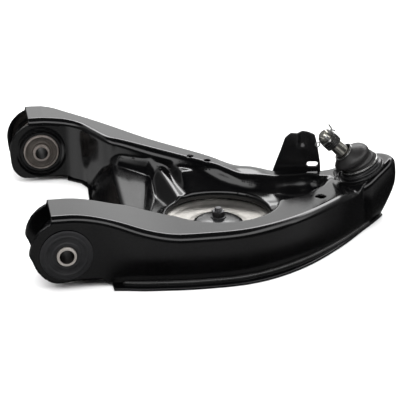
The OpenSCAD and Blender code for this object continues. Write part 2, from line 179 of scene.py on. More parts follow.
def surface(field, low, high, step):
    """Mesh of the field's zero surface: a surface net, pulled onto the surface, with true normals."""
    axes = [np.arange(low[a], high[a] + step, step) for a in range(3)]
    shape = tuple(len(a) for a in axes)
    values = np.empty(shape, np.float32)
    for i, x in enumerate(axes[0]):
        y, z = np.meshgrid(axes[1], axes[2], indexing="ij")
        values[i] = field(np.full(y.shape, x), y, z)
    solid = values < 0
    corners = [(a, b, c) for a in (0, 1) for b in (0, 1) for c in (0, 1)]
    cells = tuple(n - 1 for n in shape)
    count = sum(solid[a:a + cells[0], b:b + cells[1], c:c + cells[2]].astype(np.int8)
                for a, b, c in corners)
    active = (count > 0) & (count < 8)
    base = np.argwhere(active)
    index = np.full(cells, -1, np.int64)
    index[active] = np.arange(len(base))
    total, crossings = np.zeros((len(base), 3)), np.zeros(len(base))
    for a in corners:
        for axis in range(3):
            if a[axis]:
                continue
            b = tuple(v + (k == axis) for k, v in enumerate(a))
            va = values[tuple((base + a).T)].astype(float)
            vb = values[tuple((base + b).T)].astype(float)
            m = (va < 0) != (vb < 0)
            t = np.where(m, va / np.where(m, va - vb, 1), 0)
            point = np.array(a, float) + t[:, None] * (np.array(b) - np.array(a))
            total[m] += point[m]
            crossings[m] += 1
    points = np.array(low) + step * (base + total / crossings[:, None])
    quads = []
    for axis in range(3):
        u, v = [(1, 2), (2, 0), (0, 1)][axis]
        first = [slice(None)] * 3
        second = [slice(None)] * 3
        first[axis], second[axis] = slice(0, -1), slice(1, None)
        flip = np.argwhere(solid[tuple(first)] != solid[tuple(second)])
        keep = (flip[:, u] > 0) & (flip[:, v] > 0) & (flip[:, u] < cells[u]) & (flip[:, v] < cells[v])
        flip = flip[keep]
        ring = []
        for du, dv in ((-1, -1), (0, -1), (0, 0), (-1, 0)):
            q = flip.copy()
            q[:, u] += du
            q[:, v] += dv
            ring.append(index[tuple(q.T)])
        ring = np.stack(ring, 1)
        inward = ~solid[tuple(flip.T)]
        ring[inward] = ring[inward][:, ::-1]
        quads.append(ring)
    quads = np.concatenate(quads)

    def slope(p, h):
        return np.stack([field(*(p + h * e).T) - field(*(p - h * e).T) for e in np.eye(3)], 1) / (2 * h)

    for _ in range(3):
        g = slope(points, 0.3)
        move = field(*points.T)[:, None] * g / np.maximum((g * g).sum(1), 0.25)[:, None]
        size = np.linalg.norm(move, axis=1)[:, None]
        points -= move * np.minimum(1, 0.6 * step / np.maximum(size, 1e-9))
    normals = slope(points, 0.7)
    normals /= np.maximum(np.linalg.norm(normals, axis=1), 1e-9)[:, None]
    return points, quads, normals


# ---------------------------------------------------------------- making pieces

def put(name, mesh, body, material, replaced=()):
    o = bpy.data.objects.new(name, mesh)
    bpy.context.scene.collection.objects.link(o)
    mesh.materials.append(material)
    if body:
        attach(o, body)
    if replaced:
        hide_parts(*replaced)
    return o


def mesh_of(name, points, faces, normals=None, place=None):
    me = bpy.data.meshes.new(name)
    co = np.array(points, float) * MM
    if place is not None:
        m = np.array(place, float)
        co = co @ m[:3, :3].T + m[:3, 3]
    me.from_pydata(co.tolist(), [], [list(map(int, f)) for f in faces])
    me.validate()
    me.polygons.foreach_set("use_smooth", [True] * len(me.polygons))
    if normals is not None:
        me.normals_split_custom_set_from_vertices(normals.tolist())
    return me


def tidy(o, angle=38, weighted=True):
    """Joins doubled points, turns faces outward and keeps sharp edges sharp."""
    bm = bmesh.new()
    bm.from_mesh(o.data)
    bmesh.ops.remove_doubles(bm, verts=bm.verts, dist=1e-6)
    bmesh.ops.recalc_face_normals(bm, faces=bm.faces)
    for e in bm.edges:
        if len(e.link_faces) == 2:
            e.smooth = e.calc_face_angle(0) < math.radians(angle)
    bm.to_mesh(o.data)
    bm.free()
    if weighted:
        o.modifiers.new("normals", "WEIGHTED_NORMAL").keep_sharp = True
    return o


def axis_place(at, z_axis, x_axis=(1, 0, 0)):
    """Frame with its origin at a point in millimetres and +Z along z_axis."""
    z = Vector(z_axis).normalized()
    x = Vector(x_axis)
    x = (x - z * x.dot(z)).normalized()
    y = z.cross(x)
    m = Matrix((x, y, z)).transposed().to_4x4()
    m.translation = Vector(at) * MM
    return m


HOUSING = axis_place(BALL, (-math.sin(LEAN), 0, math.cos(LEAN)))
STUD = axis_place(BALL, (-math.sin(LEAN + STUD_LEAN), 0, math.cos(LEAN + STUD_LEAN)))
SEAT = axis_place((POCKET[0], POCKET[1], 0), (0, 0, 1))


def rounded(profile, r, n=4):
    """Closed profile with each corner rounded by up to r."""
    p = [np.array(q, float) for q in profile]
    out = []
    for i, q in enumerate(p):
        a, b = p[i - 1] - q, p[(i + 1) % len(p)] - q
        la, lb = np.linalg.norm(a), np.linalg.norm(b)
        cut = min(r, 0.45 * la, 0.45 * lb)
        if q[0] < 1e-6 or cut < 1e-3:
            out.append(q)
            continue
        s, e = q + a / la * cut, q + b / lb * cut
        for k in range(n + 1):
            t = k / n
            out.append((1 - t) ** 2 * s + 2 * t * (1 - t) * q + t * t * e)
    return out


def lathe(name, profile, place, body, material, replaced=(), r=0.5, sides=96):
    """Piece turned from a closed profile of (radius, height), its corners rounded by r."""
    p = rounded(profile, r) if r else [np.array(q, float) for q in profile]
    points, faces, n = [], [], len(p)
    for k in range(sides):
        a = 2 * math.pi * k / sides
        for q in p:
            points.append((q[0] * math.cos(a), q[0] * math.sin(a), q[1]))
    for k in range(sides):
        m = (k + 1) % sides
        faces += [(k * n + i, k * n + (i + 1) % n, m * n + (i + 1) % n, m * n + i) for i in range(n)]
    return tidy(put(name, mesh_of(name, points, faces, place=place), body, material, replaced))


def band(i, j, sides):
    """Faces between the rings of points numbered i and j."""
    return [(i * sides + k, i * sides + (k + 1) % sides, j * sides + (k + 1) % sides, j * sides + k)
            for k in range(sides)]


DOME = 0.3  # how far a tube's ends stand out


def tube(path, radius, sides=10, closed=False):
    """Points and faces of a round tube along a path, with domed ends."""
    p = np.array(path, float)
    along = np.gradient(p, axis=0)
    if closed:
        along = np.roll(p, -1, 0) - np.roll(p, 1, 0)
    along /= np.linalg.norm(along, axis=1)[:, None]
    up = np.array([0.0, 0.0, 1.0]) if abs(along[0][2]) < 0.9 else np.array([0.0, 1.0, 0.0])
    points, faces, rings = [], [], []
    for i, (q, t) in enumerate(zip(p, along)):
        up = up - t * up.dot(t)
        up /= np.linalg.norm(up)
        side = np.cross(t, up)
        rad = radius(i) if callable(radius) else radius
        rings.append(len(points))
        for k in range(sides):
            a = 2 * math.pi * k / sides
            points.append(q + rad * (math.cos(a) * side + math.sin(a) * up))
    count = len(p)
    for i in range(count if closed else count - 1):
        j = (i + 1) % count
        faces += band(i, j, sides)
    if not closed:
        for ring, centre in ((0, p[0] - along[0] * DOME), (count - 1, p[-1] + along[-1] * DOME)):
            points.append(centre)
            c = len(points) - 1
            faces += [(ring * sides + k, ring * sides + (k + 1) % sides, c) for k in range(sides)]
    return points, faces


def joined(parts):
    """Several (points, faces) as one."""
    pts, faces = [], []
    for p, f in parts:
        faces += [tuple(i + len(pts) for i in q) for q in f]
        pts += p
    return pts, faces


# ---------------------------------------------------------------- materials

def nodes_of(name):
    m = bpy.data.materials.new(name)
    m.use_nodes = True
    tree = m.node_tree
    return m, tree, tree.nodes["Principled BSDF"]


def link(tree, a, b):
    tree.links.new(a, b)


def add(tree, kind, **values):
    n = tree.nodes.new(kind)
    for key, value in values.items():
        if hasattr(n, key) and key not in n.inputs:
            setattr(n, key, value)
        else:
            n.inputs[key.replace("_", " ")].default_value = value
    return n


def ramp(tree, factor, stops):
    n = tree.nodes.new("ShaderNodeValToRGB")
    e = n.color_ramp.elements
    while len(e) < len(stops):
        e.new(0.5)
    for item, (pos, value) in zip(e, stops):
        item.position = pos
        item.color = (*value, 1) if hasattr(value, "__len__") else (value, value, value, 1)
    link(tree, factor, n.inputs["Fac"])
    return n.outputs["Color"]


def bumps(tree, bsdf, layers):
    """Chained bumps: (height socket, strength, distance in metres)."""
    last = None
    for height, strength, distance in layers:
        b = tree.nodes.new("ShaderNodeBump")
        b.inputs["Strength"].default_value = strength
        b.inputs["Distance"].default_value = distance
        link(tree, height, b.inputs["Height"])
        if last:
            link(tree, last, b.inputs["Normal"])
        last = b.outputs["Normal"]
    link(tree, last, bsdf.inputs["Normal"])


def noise(tree, coords, scale, detail=3.0, roughness=0.55):
    n = add(tree, "ShaderNodeTexNoise", Scale=scale, Detail=detail, Roughness=roughness)
    link(tree, coords, n.inputs["Vector"])
    return n.outputs["Fac"]


def paint(name, dark, light, rough, peel=0.05):
    """Dipped black paint: faint cloudiness, orange peel and dust nibs."""
    m, t, b = nodes_of(name)
    c = t.nodes.new("ShaderNodeTexCoord").outputs["Object"]
    cloud = noise(t, c, 18, 4)
    fine = noise(t, c, 420, 2)
    link(t, ramp(t, cloud, [(0.3, dark), (0.7, light)]), b.inputs["Base Color"])
    link(t, ramp(t, noise(t, c, 60, 5), [(0.3, rough[0]), (0.7, rough[1])]), b.inputs["Roughness"])
    bumps(t, b, [(noise(t, c, 110, 1), peel, 0.0002), (fine, peel, 0.00005)])
    b.inputs["IOR"].default_value = 1.5
    return m


def rubber(name, dark, light, rough, grain=700):
    m, t, b = nodes_of(name)
    c = t.nodes.new("ShaderNodeTexCoord").outputs["Object"]
    link(t, ramp(t, noise(t, c, 45, 5, 0.65), [(0.3, dark), (0.72, light)]), b.inputs["Base Color"])
    link(t, ramp(t, noise(t, c, 120, 4), [(0.3, rough[0]), (0.7, rough[1])]), b.inputs["Roughness"])
    bumps(t, b, [(noise(t, c, grain, 3), 0.35, 0.0003), (noise(t, c, 90, 3), 0.2, 0.0006)])
    b.inputs["IOR"].default_value = 1.45
    return m


def turned(name, dark, light, rough, at=(0, 0, 0), spin=(0, 0, 0), rings=1400, mark=0.25, bore=0.0,
           metal=1.0):
    """Machined metal with turning marks round the axis through a point, and painted shade: the bore is
    painted near black.
    """
    m, t, b = nodes_of(name)
    c = t.nodes.new("ShaderNodeTexCoord").outputs["Object"]
    place = t.nodes.new("ShaderNodeMapping")
    place.vector_type = "TEXTURE"
    place.inputs["Location"].default_value = [v * MM for v in at]
    place.inputs["Rotation"].default_value = spin
    link(t, c, place.inputs["Vector"])
    parts = t.nodes.new("ShaderNodeSeparateXYZ")
    link(t, place.outputs["Vector"], parts.inputs[0])
    flat = t.nodes.new("ShaderNodeCombineXYZ")
    link(t, parts.outputs[0], flat.inputs[0])
    link(t, parts.outputs[1], flat.inputs[1])
    size = t.nodes.new("ShaderNodeVectorMath")
    size.operation = "LENGTH"
    link(t, flat.outputs[0], size.inputs[0])
    radial = t.nodes.new("ShaderNodeCombineXYZ")
    link(t, size.outputs["Value"], radial.inputs[0])
    link(t, parts.outputs[2], radial.inputs[1])
    marks = noise(t, radial.outputs[0], rings, 2)
    stain = noise(t, c, 90, 5, 0.6)
    tone = ramp(t, stain, [(0.3, dark), (0.68, light)])
    link(t, ramp(t, marks, [(0.25, rough[0]), (0.75, rough[1])]), b.inputs["Roughness"])
    bumps(t, b, [(marks, mark, 0.0002), (noise(t, c, 500, 2), 0.08, 0.0002)])
    # painted shade: inside the bore radius the colour is mixed to near black, where the bore lies in shadow
    if bore:
        inside = add(t, "ShaderNodeMapRange")
        inside.inputs["From Min"].default_value = (bore + 0.1) * MM
        inside.inputs["From Max"].default_value = (bore + 0.5) * MM
        link(t, size.outputs["Value"], inside.inputs["Value"])
        shade = t.nodes.new("ShaderNodeMix")
        shade.data_type = "RGBA"
        shade.inputs["A"].default_value = (0.012, 0.010, 0.009, 1)
        link(t, inside.outputs[0], shade.inputs["Factor"])
        link(t, tone, shade.inputs["B"])
        tone = shade.outputs["Result"]
    link(t, tone, b.inputs["Base Color"])
    b.inputs["Metallic"].default_value = metal
    return m


def cast_plastic(name, dark, light):
    m, t, b = nodes_of(name)
    c = t.nodes.new("ShaderNodeTexCoord").outputs["Object"]
    link(t, ramp(t, noise(t, c, 50, 3), [(0.3, dark), (0.7, light)]), b.inputs["Base Color"])
    link(t, ramp(t, noise(t, c, 200, 3), [(0.3, 0.4), (0.7, 0.55)]), b.inputs["Roughness"])
    bumps(t, b, [(noise(t, c, 600, 2), 0.1, 0.0002)])
    return m


BLACK = paint("black_ecoat", (0.0008, 0.0008, 0.001), (0.002, 0.002, 0.0022), (0.12, 0.18))
BLACK_SMALL = paint("black_ecoat_parts", (0.004, 0.004, 0.0045), (0.009, 0.009, 0.0095), (0.18, 0.28), 0.12)
WELD = paint("black_weld", (0.010, 0.010, 0.010), (0.025, 0.025, 0.025), (0.14, 0.3), 0.3)
RUBBER = rubber("bushing_rubber", (0.007, 0.007, 0.008), (0.014, 0.014, 0.0155), (0.5, 0.7))
OLD_RUBBER = rubber("rear_bushing_rubber", (0.03, 0.025, 0.021), (0.075, 0.064, 0.055), (0.5, 0.72))
BOOT = rubber("boot_rubber", (0.009, 0.0085, 0.0085), (0.017, 0.0165, 0.0165), (0.32, 0.44), 1100)
SLEEVE = turned("front_sleeve_steel", (0.26, 0.24, 0.215), (0.42, 0.395, 0.37), (0.28, 0.46),
                (0, 0, 0), (math.pi / 2, 0, 0), bore=SLEEVE_BORE, metal=0.35)
REAR_SLEEVE = turned("rear_sleeve_steel", (0.13, 0.11, 0.10), (0.27, 0.24, 0.22), (0.30, 0.48),
                     (0, PIVOT_SPAN, 0), (math.pi / 2, 0, 0), bore=SLEEVE_BORE, metal=0.4)
DISH = turned("spring_seat_steel", (0.40, 0.385, 0.365), (0.55, 0.53, 0.50), (0.42, 0.55),
              (POCKET[0], POCKET[1], 0), (0, 0, 0), 500, 0.12)
STEEL = turned("stud_steel", (0.60, 0.585, 0.52), (0.90, 0.88, 0.82), (0.14, 0.26),
               tuple(BALL), (0, -(LEAN + STUD_LEAN), 0), 1200, 0.3)
ZINC = turned("nut_zinc", (0.26, 0.26, 0.255), (0.60, 0.60, 0.59), (0.16, 0.30),
              tuple(BALL), (0, -(LEAN + STUD_LEAN), 0), 900, 0.35)
DARK_BOLT = turned("seat_bolt_black", (0.05, 0.05, 0.052), (0.13, 0.13, 0.135), (0.3, 0.45),
                   (POCKET[0], POCKET[1], 0), (0, 0, 0), 900, 0.35)
ACETAL = cast_plastic("bearing_acetal", (0.62, 0.59, 0.50), (0.75, 0.72, 0.63))

# ---------------------------------------------------------------- upper stamping

PLAN_BOX = (-72, 402, -72, 352)
f_front = Plan(front_wall + [[352, 112], [303, 92], [290, 74], [262, 50]] + front_inner[::-1], PLAN_BOX)
f_rear = Plan(rear_inner + [[330, 84]] + rear_wall[::-1], PLAN_BOX)
f_pan = Plan(front_wall + [[352, 118]] + rear_wall[::-1], PLAN_BOX, 1.5)
f_foot = Plan(nose_foot, PLAN_BOX)
SIDE_BOX = (-72, 402, -60, 60)
ear_arc = arc(0, 0, 37.5, 112, 178, 24)
front_foot = curve([ear_arc[-1], [-34.4, -5], [-30, -16], [-20.5, -26.8], [-9, -31.3], [7, -30.2],
                    [33, -30.2], [40, -33], [43, PLATE_TOP]], 4)
rear_foot = curve([ear_arc[-1], [-35.6, -17], [-31, -26], [-24, -32], [-14, -33.5], [30, -33.5],
                   [36, PLATE_TOP]], 4)
channel_end = [[400, PLATE_TOP], [400, 60], [-14, 60], [-14, 38]]
f_front_side = Plan(ear_arc + front_foot[1:] + channel_end, SIDE_BOX, 0.8)
f_rear_side = Plan(ear_arc + rear_foot[1:] + channel_end, SIDE_BOX, 0.8)
HX, HZ = math.cos(LEAN), math.sin(LEAN)
COLLAR_Z, COLLAR_R, RECESS_R = -4.5, 40.0, 31.0


def soft_max(a, b, r):
    return -either(-a, -b, r)


# the shelf: its height and rise toward the rear, its edge, and the foot of the rear wall that crosses it
SHELF_Z, SHELF_MIDDLE_Y, SHELF_RISE, SHELF_MAX = 4.0, 150, 0.05, 13
EDGE_AT, EDGE_SLANT, EDGE_COSINE, EDGE_FALL = (93.8, 76.5), 0.207, 0.979, 1.5
FOOT_AT, FOOT_ACROSS, FOOT_LENGTH, FOOT_RISE = (80.1, 199.1), (34.3, 33.4), 47.9, 0.75
# the spur: a rib that runs forward and down from the rear wall to the hole
SPUR_START_Y, SPUR_LENGTH, SPUR_END_Y, SPUR_END_FALL = 190, 92, 96, 0.5
SPUR_X, SPUR_DRIFT, SPUR_BEND = 124.6, 17, 3
SPUR_Z, SPUR_FALL, SPUR_FLANK, SPUR_ROUND, SPUR_LIFT = 14.0, 12.5, 0.95, 2.6, 2.0
# the slope from the rear leg to the hole, and the trough between shelf, spur and hole
SLOPE_RISE, SLOPE_MAX = 0.5, 16
TROUGH_FALL, TROUGH_DEPTH, TROUGH_SPUR_Y, TROUGH_GAP = 0.9, 12, 98, 4
PAN_BLEND, PAN_SOFT = 2.0, 2.2


def past_rim(x, y):
    """Distance outside the spring hole."""
    return np.hypot(x - POCKET[0], y - POCKET[1]) - HOLE_R


def pan_height():
    """Height of the pan on the plan grid: shelf, spur, slope and trough."""
    grid = f_pan
    x = grid.x0 + grid.step * np.arange(grid.d.shape[0])[:, None] * np.ones(grid.d.shape[1])
    y = grid.y0 + grid.step * np.arange(grid.d.shape[1])[None, :] * np.ones(grid.d.shape[0])[:, None]
    past_edge = (x - EDGE_AT[0] - (y - EDGE_AT[1]) * EDGE_SLANT) * EDGE_COSINE
    shelf = SHELF_Z + SHELF_RISE * (y - SHELF_MIDDLE_Y) - EDGE_FALL * np.maximum(past_edge, 0)
    past_foot = ((x - FOOT_AT[0]) * FOOT_ACROSS[0] + (y - FOOT_AT[1]) * FOOT_ACROSS[1]) / FOOT_LENGTH
    shelf = np.minimum(shelf + FOOT_RISE * np.maximum(past_foot, 0), SHELF_MAX)
    run = np.clip((SPUR_START_Y - y) / SPUR_LENGTH, 0, 1)
    spine_x = SPUR_X + SPUR_DRIFT * run - SPUR_BEND * run * run
    spine_z = SPUR_Z - SPUR_FALL * run
    spur = spine_z + SPUR_LIFT - np.hypot(SPUR_FLANK * (x - spine_x), SPUR_ROUND)
    spur = spur - SPUR_END_FALL * np.maximum(SPUR_END_Y - y, 0)
    rim = past_rim(x, y)
    slope = np.clip(rim * SLOPE_RISE, 0, SLOPE_MAX)
    slope = slope * (fade(y, 62, 96) * fade(x - spine_x, 3, 15) * fade(x, 256, 222))
    to_hole = np.where(y > TROUGH_SPUR_Y, np.maximum(spine_x - TROUGH_GAP - x, 0), rim)
    trough = -np.clip(TROUGH_FALL * to_hole, 0, TROUGH_DEPTH)
    trough = trough * fade(x, 88, 93) * fade(x, 150, 140) * fade(y, 10, 30)
    ground = soft_max(soft_max(shelf, spur, PAN_BLEND), trough, PAN_BLEND)
    return soft_max(ground, np.where(slope > 0.01, slope, -9), PAN_BLEND)


class Height(Plan):
    """A height kept on the plan grid, softened, and read smoothly together with its steepness."""

    def __init__(self, values, like, soft):
        self.x0, self.y0, self.step = like.x0, like.y0, like.step
        self.d = self.soften(values, soft)
        gx, gy = np.gradient(self.d, self.step)
        self.steep = Plan.__new__(Plan)
        self.steep.x0, self.steep.y0, self.steep.step = like.x0, like.y0, like.step
        self.steep.d = np.sqrt(1 + gx * gx + gy * gy)


ground_height = Height(pan_height(), f_pan, PAN_SOFT)

# edge and fillet radii of the stamping
FRONT_EDGE, REAR_EDGE, PAN_EDGE, CROTCH_EDGE = 7.5, 8.5, 2.0, 5.0
CHORD_EDGE, NOSE_EDGE, RECESS_EDGE, RIM_EDGE = 9.0, 8.0, 1.0, 3.2
LEG_FILLET, PAN_FILLET, PAN_FILLET_EXTRA, NOSE_FILLET = 6.0, 6.0, 9.0, 12.0
# the front wall bulges at half its height: how much, where, half its height squared, and how deep it acts
BULGE, BULGE_Z, BULGE_REACH, BULGE_DEPTH = 0.0030, -4, 560, 12
FRONT_SLANT, REAR_DRAFT = 0.98, 0.30
# the crotch wall leans by RISE over RUN, and its foot moves outboard toward the rear leg
CROTCH_X, CROTCH_SHIFT = 48, 5
CROTCH_RISE, CROTCH_RUN, CROTCH_LENGTH = 38, 24, 45.0
# the nose: a disc cut off by a chord, which turns into the foot's outline below
DISC_SHIFT, NOSE_LEAST, RECESS_LIFT = (-1, 2), 20, 1.2
CHORD, CHORD_TURN = 27.0, math.radians(-60)


def housing_frame(x, z):
    """Along and above the ball joint's own plane."""
    return ((x - BALL[0]) * HX + (z - BALL[2]) * HZ, -(x - BALL[0]) * HZ + (z - BALL[2]) * HX)


def skin(x, y, z):
    """Outer face of the stamping, before its sheet thickness is taken off."""
    behind_front = f_rear(x, y)
    outline = f_pan(x, y)
    barrel = BULGE * ((z - BULGE_Z) ** 2 - BULGE_REACH) * fade(x, 30, 80) * fade(behind_front, 5, 20)
    outline = outline + barrel
    front = f_front(x, y) + np.where(outline > -BULGE_DEPTH, barrel, 0.0)
    front = both(front, (z - front_top(x)) * FRONT_SLANT, FRONT_EDGE)
    top = rear_top(x)
    draft = REAR_DRAFT * fade(x, 60, 120) * np.clip(top - z, 0, 40)
    rear = both(behind_front - draft, z - top, REAR_EDGE)
    ground = (z - ground_height(x, y)) / ground_height.steep(x, y)
    foot_x = CROTCH_X + CROTCH_SHIFT * fade(y, 195, 245)
    crotch = (-(x - foot_x) * CROTCH_RISE + (z - BASE_Z) * CROTCH_RUN) / CROTCH_LENGTH
    pan = both(both(ground, crotch, CROTCH_EDGE), outline, PAN_EDGE)
    lx, lz = housing_frame(x, z)
    rim_z = BALL[2] + (COLLAR_Z + (x - BALL[0]) * HZ) / HX
    rise = np.clip((z - PLATE_TOP) / np.maximum(rim_z - PLATE_TOP, NOSE_LEAST), 0, 1)
    disc = np.hypot(lx - DISC_SHIFT[0], y - BALL[1] - DISC_SHIFT[1]) - COLLAR_R
    chord = lx * math.cos(CHORD_TURN) + (y - BALL[1]) * math.sin(CHORD_TURN) - CHORD
    disc = both(disc, chord, CHORD_EDGE)
    nose = both((1 - rise) * f_foot(x, y) + rise * disc, lz - COLLAR_Z, NOSE_EDGE)
    solid = either(either(front, rear, LEG_FILLET), pan, PAN_FILLET + PAN_FILLET_EXTRA * fade(x, 205, 245))
    solid = either(solid, nose, NOSE_FILLET)
    solid = np.maximum(solid, np.minimum(outline, nose))
    recess = np.maximum(np.hypot(lx, y - BALL[1]) - RECESS_R, COLLAR_Z + RECESS_LIFT - lz)
    solid = both(solid, -recess, RECESS_EDGE)
    return both(solid, -past_rim(x, y), RIM_EDGE)


NOSE_EXTRA = 2.4
RING_R, RING_WIDTH, RING_HEIGHT = 27.5, 1.8, 1.1
EARS_END_X, BETWEEN_EARS_Y, REAR_EAR_Y = 60, 160, 250
LIP_WIDTH, LIP_Z = 5, -7
SEAT_HOLE_R, SEAT_HOLE_HALF, SEAT_WALL = 22.2, 22, 4.2
CAN_HOLE_R = 21.2
SMALL_HOLES = ((281, 38, 5.5), (161.6, 165, 3.5), (179, 152, 3.5))


def upper_field(x, y, z):
    """The stamping: its skin made hollow, with its ears trimmed and its holes cut."""
    solid = skin(x, y, z)
    # raised rings pressed round the rear bushing
    round_pivot = np.hypot(x, z)
    ring = RING_HEIGHT * np.exp(-((round_pivot - RING_R) / RING_WIDTH) ** 2)
    solid = solid - np.where(y > REAR_EAR_Y, ring, 0)
    # in the nose the sheet is thicker, on its inner side
    sheet = SHEET + NOSE_EXTRA * fade(x, 325, 345)
    shell = both(solid, -(solid + sheet), 0.5)
    shell = np.maximum(shell, PLATE_TOP - z)
    trim = np.where(y < BETWEEN_EARS_Y, f_front_side(x, z), f_rear_side(x, z))
    shell = np.where(x < EARS_END_X, both(shell, trim, 0.8), shell)
    shell = np.maximum(shell, -np.maximum(past_rim(x, y) - LIP_WIDTH, z - LIP_Z))
    lx, lz = housing_frame(x, z)
    seat_hole = np.maximum(np.hypot(lx, y - BALL[1]) - SEAT_HOLE_R, np.abs(lz) - SEAT_HOLE_HALF)
    # under the collar the hole stops short of the outer face, or it would open the front wall
    seat_hole = np.maximum(seat_hole, np.where(lz < COLLAR_Z - 5, solid + SEAT_WALL, -SEAT_HOLE_HALF))
    shell = np.maximum(shell, -seat_hole)
    shell = np.maximum(shell, CAN_HOLE_R - np.where(x < EARS_END_X, round_pivot, 99))
    for cx, cy, r in SMALL_HOLES:
        shell = np.maximum(shell, -np.maximum(np.hypot(x - cx, y - cy) - r, -z))
    return shell


GRID = 1.7
SHELL_LOW, SHELL_HIGH = (-41, -46, -37), (389, 345, 46)
points, quads, normals = surface(upper_field, SHELL_LOW, SHELL_HIGH, GRID)
put("upper_stamping", mesh_of("upper_stamping", points, quads, normals), "arm",
    BLACK, ["upper_shell"])


# ---------------------------------------------------------------- lower plate, bracket and welds

def flat_plate(name, loops, z0, z1, edge, place, body, material, replaced):
    """Plate with holes and rounded edges, from closed loops: the outline first."""
    data = bpy.data.curves.new(name, "CURVE")
    data.dimensions, data.fill_mode = "2D", "BOTH"
    data.extrude = (z1 - z0) / 2 * MM - edge * MM
    data.bevel_depth, data.bevel_resolution, data.offset = edge * MM, 3, -edge * MM
    for loop in loops:
        s = data.splines.new("POLY")
        s.points.add(len(loop) - 1)
        for p, q in zip(s.points, loop):
            p.co = (q[0] * MM, q[1] * MM, 0, 1)
        s.use_cyclic_u = True
    temp = bpy.data.objects.new(name + "_line", data)
    bpy.context.scene.collection.objects.link(temp)
    bpy.context.view_layer.update()
    me = bpy.data.meshes.new_from_object(temp.evaluated_get(bpy.context.evaluated_depsgraph_get()))
    bpy.data.objects.remove(temp)
    bpy.data.curves.remove(data)
    me.transform(Matrix.Translation((0, 0, (z0 + z1) / 2 * MM)))
    me.transform(place)
    me.materials.clear()
    me.polygons.foreach_set("use_smooth", [True] * len(me.polygons))
    return tidy(put(name, me, body, material, replaced))


FLANGE, REAR_FLANGE, PLATE_EDGE = 12, 6, 1.4
DRAIN_R, DRAINS_AT, ACCESS_R = 7, ((110, -5), (130, 178), (300, 70)), 24
seam_front = np.array([q for q in front_wall if q[0] >= 44])
reach = FLANGE * (1 - 0.75 * fade(seam_front[:, 0], 200, 360))
away = beside(seam_front, -1) - seam_front
flange = seam_front + away * reach[:, None]
seam_rear = np.array([q for q in rear_wall if q[0] >= 30])
plate_edge = list(flange) + [[372, 98]] + arc(345, 108, 27, 12, 96, 14) \
    + list(beside(seam_rear, REAR_FLANGE)[::-1]) \
    + [[30, 276], [45, 262], [51, 246], [48, 200], [48, 37], [46, 31]]
loops = [plate_edge] + [arc(x, y, DRAIN_R, 0, -350, 35) for x, y in DRAINS_AT] \
    + [arc(POCKET[0], POCKET[1], ACCESS_R, 0, -355, 71)]
flat_plate("lower_stamping", loops, BASE_Z, PLATE_TOP, PLATE_EDGE, Matrix.Identity(4), "arm",
           BLACK, ["lower_plate"])


def bead(name, line, radius, pitch, body, replaced):
    """Weld bead with its ripples, laid along a line at the foot of a wall."""
    p = np.array(line, float)
    s = np.concatenate([[0], np.cumsum(np.linalg.norm(np.diff(p, axis=0), axis=1))])
    at = np.arange(0, s[-1], pitch / 5)
    q = np.stack([np.interp(at, s, p[:, k]) for k in range(3)], 1)
    rng = np.random.default_rng(7)
    sway = np.convolve(rng.normal(0, 1, len(at) + 14), np.ones(15) / 15, "valid")

    def size(i):
        end = min(1.0, (i + 1) / 5, (len(at) - i) / 5)
        return radius * (1 + 0.11 * abs(math.sin(math.pi * at[i] / pitch)) + 0.22 * sway[i]) * end

    pts, faces = tube(q, size, 12)
    return tidy(put(name, mesh_of(name, pts, faces), body, WELD, replaced), 60, False)


WELD_Z, WELD_R, WELD_PITCH = PLATE_TOP + 0.6, 2.3, 3.4
front_line = [(q[0], q[1], WELD_Z) for q in beside([q for q in front_wall if 52 <= q[0] <= 350], -0.4)]
rear_line = [(q[0], q[1], WELD_Z) for q in beside([q for q in rear_wall if 34 <= q[0] <= 316], 0.4)]
bead("front_weld", front_line, WELD_R, WELD_PITCH, "arm", ["front_seam_weld"])
bead("rear_weld", rear_line, WELD_R, WELD_PITCH, "arm", ["rear_seam_weld"])

BRACKET = Matrix.Translation((0.2775, 0.1245, 0)) @ Matrix.Rotation(math.radians(-10), 4, "Z")
bracket_line = [[-28, -12], [26.5, -12], [26, 21], [21.5, 46], [18.5, 57], [11, 60], [5, 60], [-1, 58],
                [-8.5, 59], [-15, 53], [-19, 40], [-28, 14]]
f_bracket = Plan(bracket_line, (-36, 36, -20, 66), 1.2, 0.5)


GROOVE_X, GROOVE_WIDTH, GROOVE_DEPTH = 5, 4.6, 3.6
BRACKET_Y, BRACKET_HALF = 2.8, 1.7
SLOT_AT, SLOT_HALF, SLOT_R = (16.7, 21.5), 3.5, 2.8


def bracket_field(x, y, z):
    # the groove pressed into the top edge, and a soft dish below it
    groove = np.exp(-((x - GROOVE_X) / GROOVE_WIDTH) ** 2) * fade(z, 40, 48)
    sheet = np.abs(y - BRACKET_Y - GROOVE_DEPTH * groove + 0.8 * fade(z, 20, 50)) - BRACKET_HALF
    solid = both(sheet, f_bracket(x, z), 0.8)
    slot = np.hypot(np.maximum(np.abs(x - SLOT_AT[0]) - SLOT_HALF, 0), z - SLOT_AT[1]) - SLOT_R
    return both(solid, -slot, 0.5)


points, quads, normals = surface(bracket_field, (-31, -3, -14), (30, 9, 63), 1.0)
turn = np.array(BRACKET)[:3, :3]
put("stop_plate", mesh_of("stop_plate", points, quads, normals @ turn.T, BRACKET), "arm",
    BLACK_SMALL, ["stop_bracket"])


def ripple(i):
    return 2.0 + 0.25 * math.sin(i * 1.7)


pts, faces = joined([tube([(u, -0.6, z) for z in np.linspace(-11, 11, 30)], ripple, 10) for u in (-22, 22)])
tidy(put("bracket_stitches", mesh_of("bracket_stitches", pts, faces, place=BRACKET), "arm",
         WELD, ["bracket_weld"]), 60, False)

# ---------------------------------------------------------------- bushings

def pivot(y):
    return axis_place((0, y, 0), (0, 1, 0), (1, 0, 0))


def sleeve(name, node, y, length, material, body):
    h = length / 2
    lathe(name, [(SLEEVE_BORE, -h), (SLEEVE_R, -h), (SLEEVE_R, h), (SLEEVE_BORE, h)],
          pivot(y), body, material, [node], 0.7)


